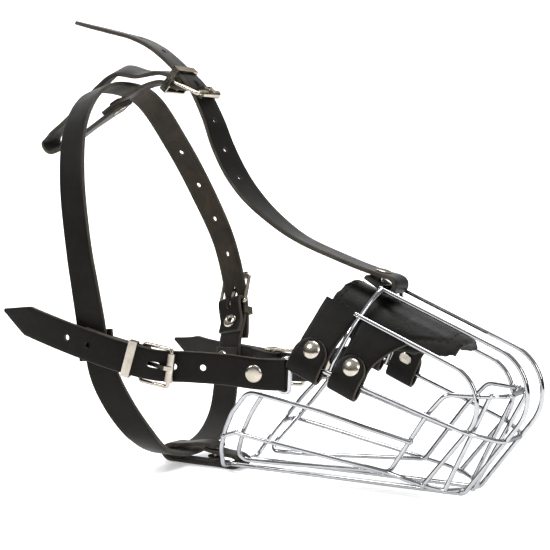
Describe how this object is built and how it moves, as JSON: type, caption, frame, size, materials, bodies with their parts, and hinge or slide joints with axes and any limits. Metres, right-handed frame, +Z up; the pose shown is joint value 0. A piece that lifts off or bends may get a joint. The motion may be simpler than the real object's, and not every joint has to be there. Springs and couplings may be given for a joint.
{
  "type": "basket muzzle",
  "caption": "Welded wire basket muzzle for a large dog, with a padded leather nose rest and buckled leather cheek, crown, throat and forehead straps.",
  "frame": {"origin": "middle of the whole muzzle's footprint, at the underside of the chin loop", "axes": "+X forward past the dog's nose, along the cage; +Y to the far side, where the crown strap's buckle is; +Z up"},
  "size_m": [0.3767, 0.1974, 0.3075],
  "materials": {
    "wire": "bright chromed wire",
    "hardware": "nickel plated, lightly worn",
    "leather": "smooth black, semi-matt",
    "lining": "soft suede, matt"
  },
  "bodies": {
    "muzzle": {"buckle_strap_rivets": "hardware", "cheek_buckle_strap_far": "leather", "cheek_buckle_strap_near": "leather", "cheek_far_buckle_frame": "hardware", "cheek_far_keeper": "hardware", "cheek_near_buckle_frame": "hardware", "cheek_near_keeper": "hardware", "cheek_rivets": "hardware", "cheek_strap_far": "leather", "cheek_strap_near": "leather", "chin_loop": "leather", "chin_rivet": "hardware", "connector_rivet": "hardware", "connector_strap": "leather", "forehead_rivet": "hardware", "forehead_strap": "leather", "front_bar_centre": "wire", "front_bar_far": "wire", "front_bar_near": "wire", "head_buckle_frame": "hardware", "head_buckle_strap": "leather", "head_keeper": "hardware", "head_strap": "leather", "joint_rivets": "hardware", "lower_side_ring": "wire", "nose_bridge_arch": "wire", "nose_pad": "leather", "nose_pad_lining": "lining", "pad_tab_front_far": "leather", "pad_tab_front_near": "leather", "pad_tab_rear_far": "leather", "pad_tab_rear_near": "leather", "rear_rim_inner": "wire", "rear_rim_outer": "wire", "tab_rivets": "hardware", "throat_strap": "leather", "top_buckle_frame": "hardware", "top_keeper": "hardware", "top_wire_inner_far": "wire", "top_wire_inner_near": "wire", "top_wire_outer_far": "wire", "top_wire_outer_near": "wire", "upper_side_ring": "wire", "weld_beads": "wire"},
    "cheek_near_tongue": {"cheek_near_buckle_tongue": "hardware"},
    "cheek_near_roller": {"cheek_near_buckle_roller": "hardware"},
    "cheek_far_tongue": {"cheek_far_buckle_tongue": "hardware"},
    "cheek_far_roller": {"cheek_far_buckle_roller": "hardware"},
    "head_tongue": {"head_buckle_tongue": "hardware"},
    "head_roller": {"head_buckle_roller": "hardware"},
    "top_tongue": {"top_buckle_tongue": "hardware"},
    "top_roller": {"top_buckle_roller": "hardware"}
  },
  "joints": [
    {"name": "cheek_near_tongue_hinge", "type": "hinge", "parent": "muzzle", "child": "cheek_near_tongue", "pos_m": [-0.05016, -0.07564, 0.07785], "axis": [-0.1096, -0.0515, -0.9926], "range_deg": [0, 8]},
    {"name": "cheek_near_roller_spin", "type": "hinge", "parent": "muzzle", "child": "cheek_near_roller", "pos_m": [-0.02766, -0.07685, 0.07543], "axis": [-0.1096, -0.0515, -0.9926], "continuous": true},
    {"name": "cheek_far_tongue_hinge", "type": "hinge", "parent": "muzzle", "child": "cheek_far_tongue", "pos_m": [-0.03198, 0.05895, 0.06295], "axis": [-0.0186, 0.0061, 0.9998], "range_deg": [0, 8]},
    {"name": "cheek_far_roller_spin", "type": "hinge", "parent": "muzzle", "child": "cheek_far_roller", "pos_m": [-0.00967, 0.06287, 0.06334], "axis": [-0.0186, 0.0061, 0.9998], "continuous": true},
    {"name": "head_tongue_hinge", "type": "hinge", "parent": "muzzle", "child": "head_tongue", "pos_m": [-0.08202, 0.08237, 0.10374], "axis": [-0.9674, 0.0954, -0.2347], "range_deg": [0, 8]},
    {"name": "head_roller_spin", "type": "hinge", "parent": "muzzle", "child": "head_roller", "pos_m": [-0.08549, 0.0941, 0.12281], "axis": [-0.9674, 0.0954, -0.2347], "continuous": true},
    {"name": "top_tongue_hinge", "type": "hinge", "parent": "muzzle", "child": "top_tongue", "pos_m": [-0.07061, -0.00022, 0.26152], "axis": [-0.0732, -0.9968, -0.0321], "range_deg": [0, 8]},
    {"name": "top_roller_spin", "type": "hinge", "parent": "muzzle", "child": "top_roller", "pos_m": [-0.04971, -0.00147, 0.25284], "axis": [-0.0732, -0.9968, -0.0321], "continuous": true}
  ]
}
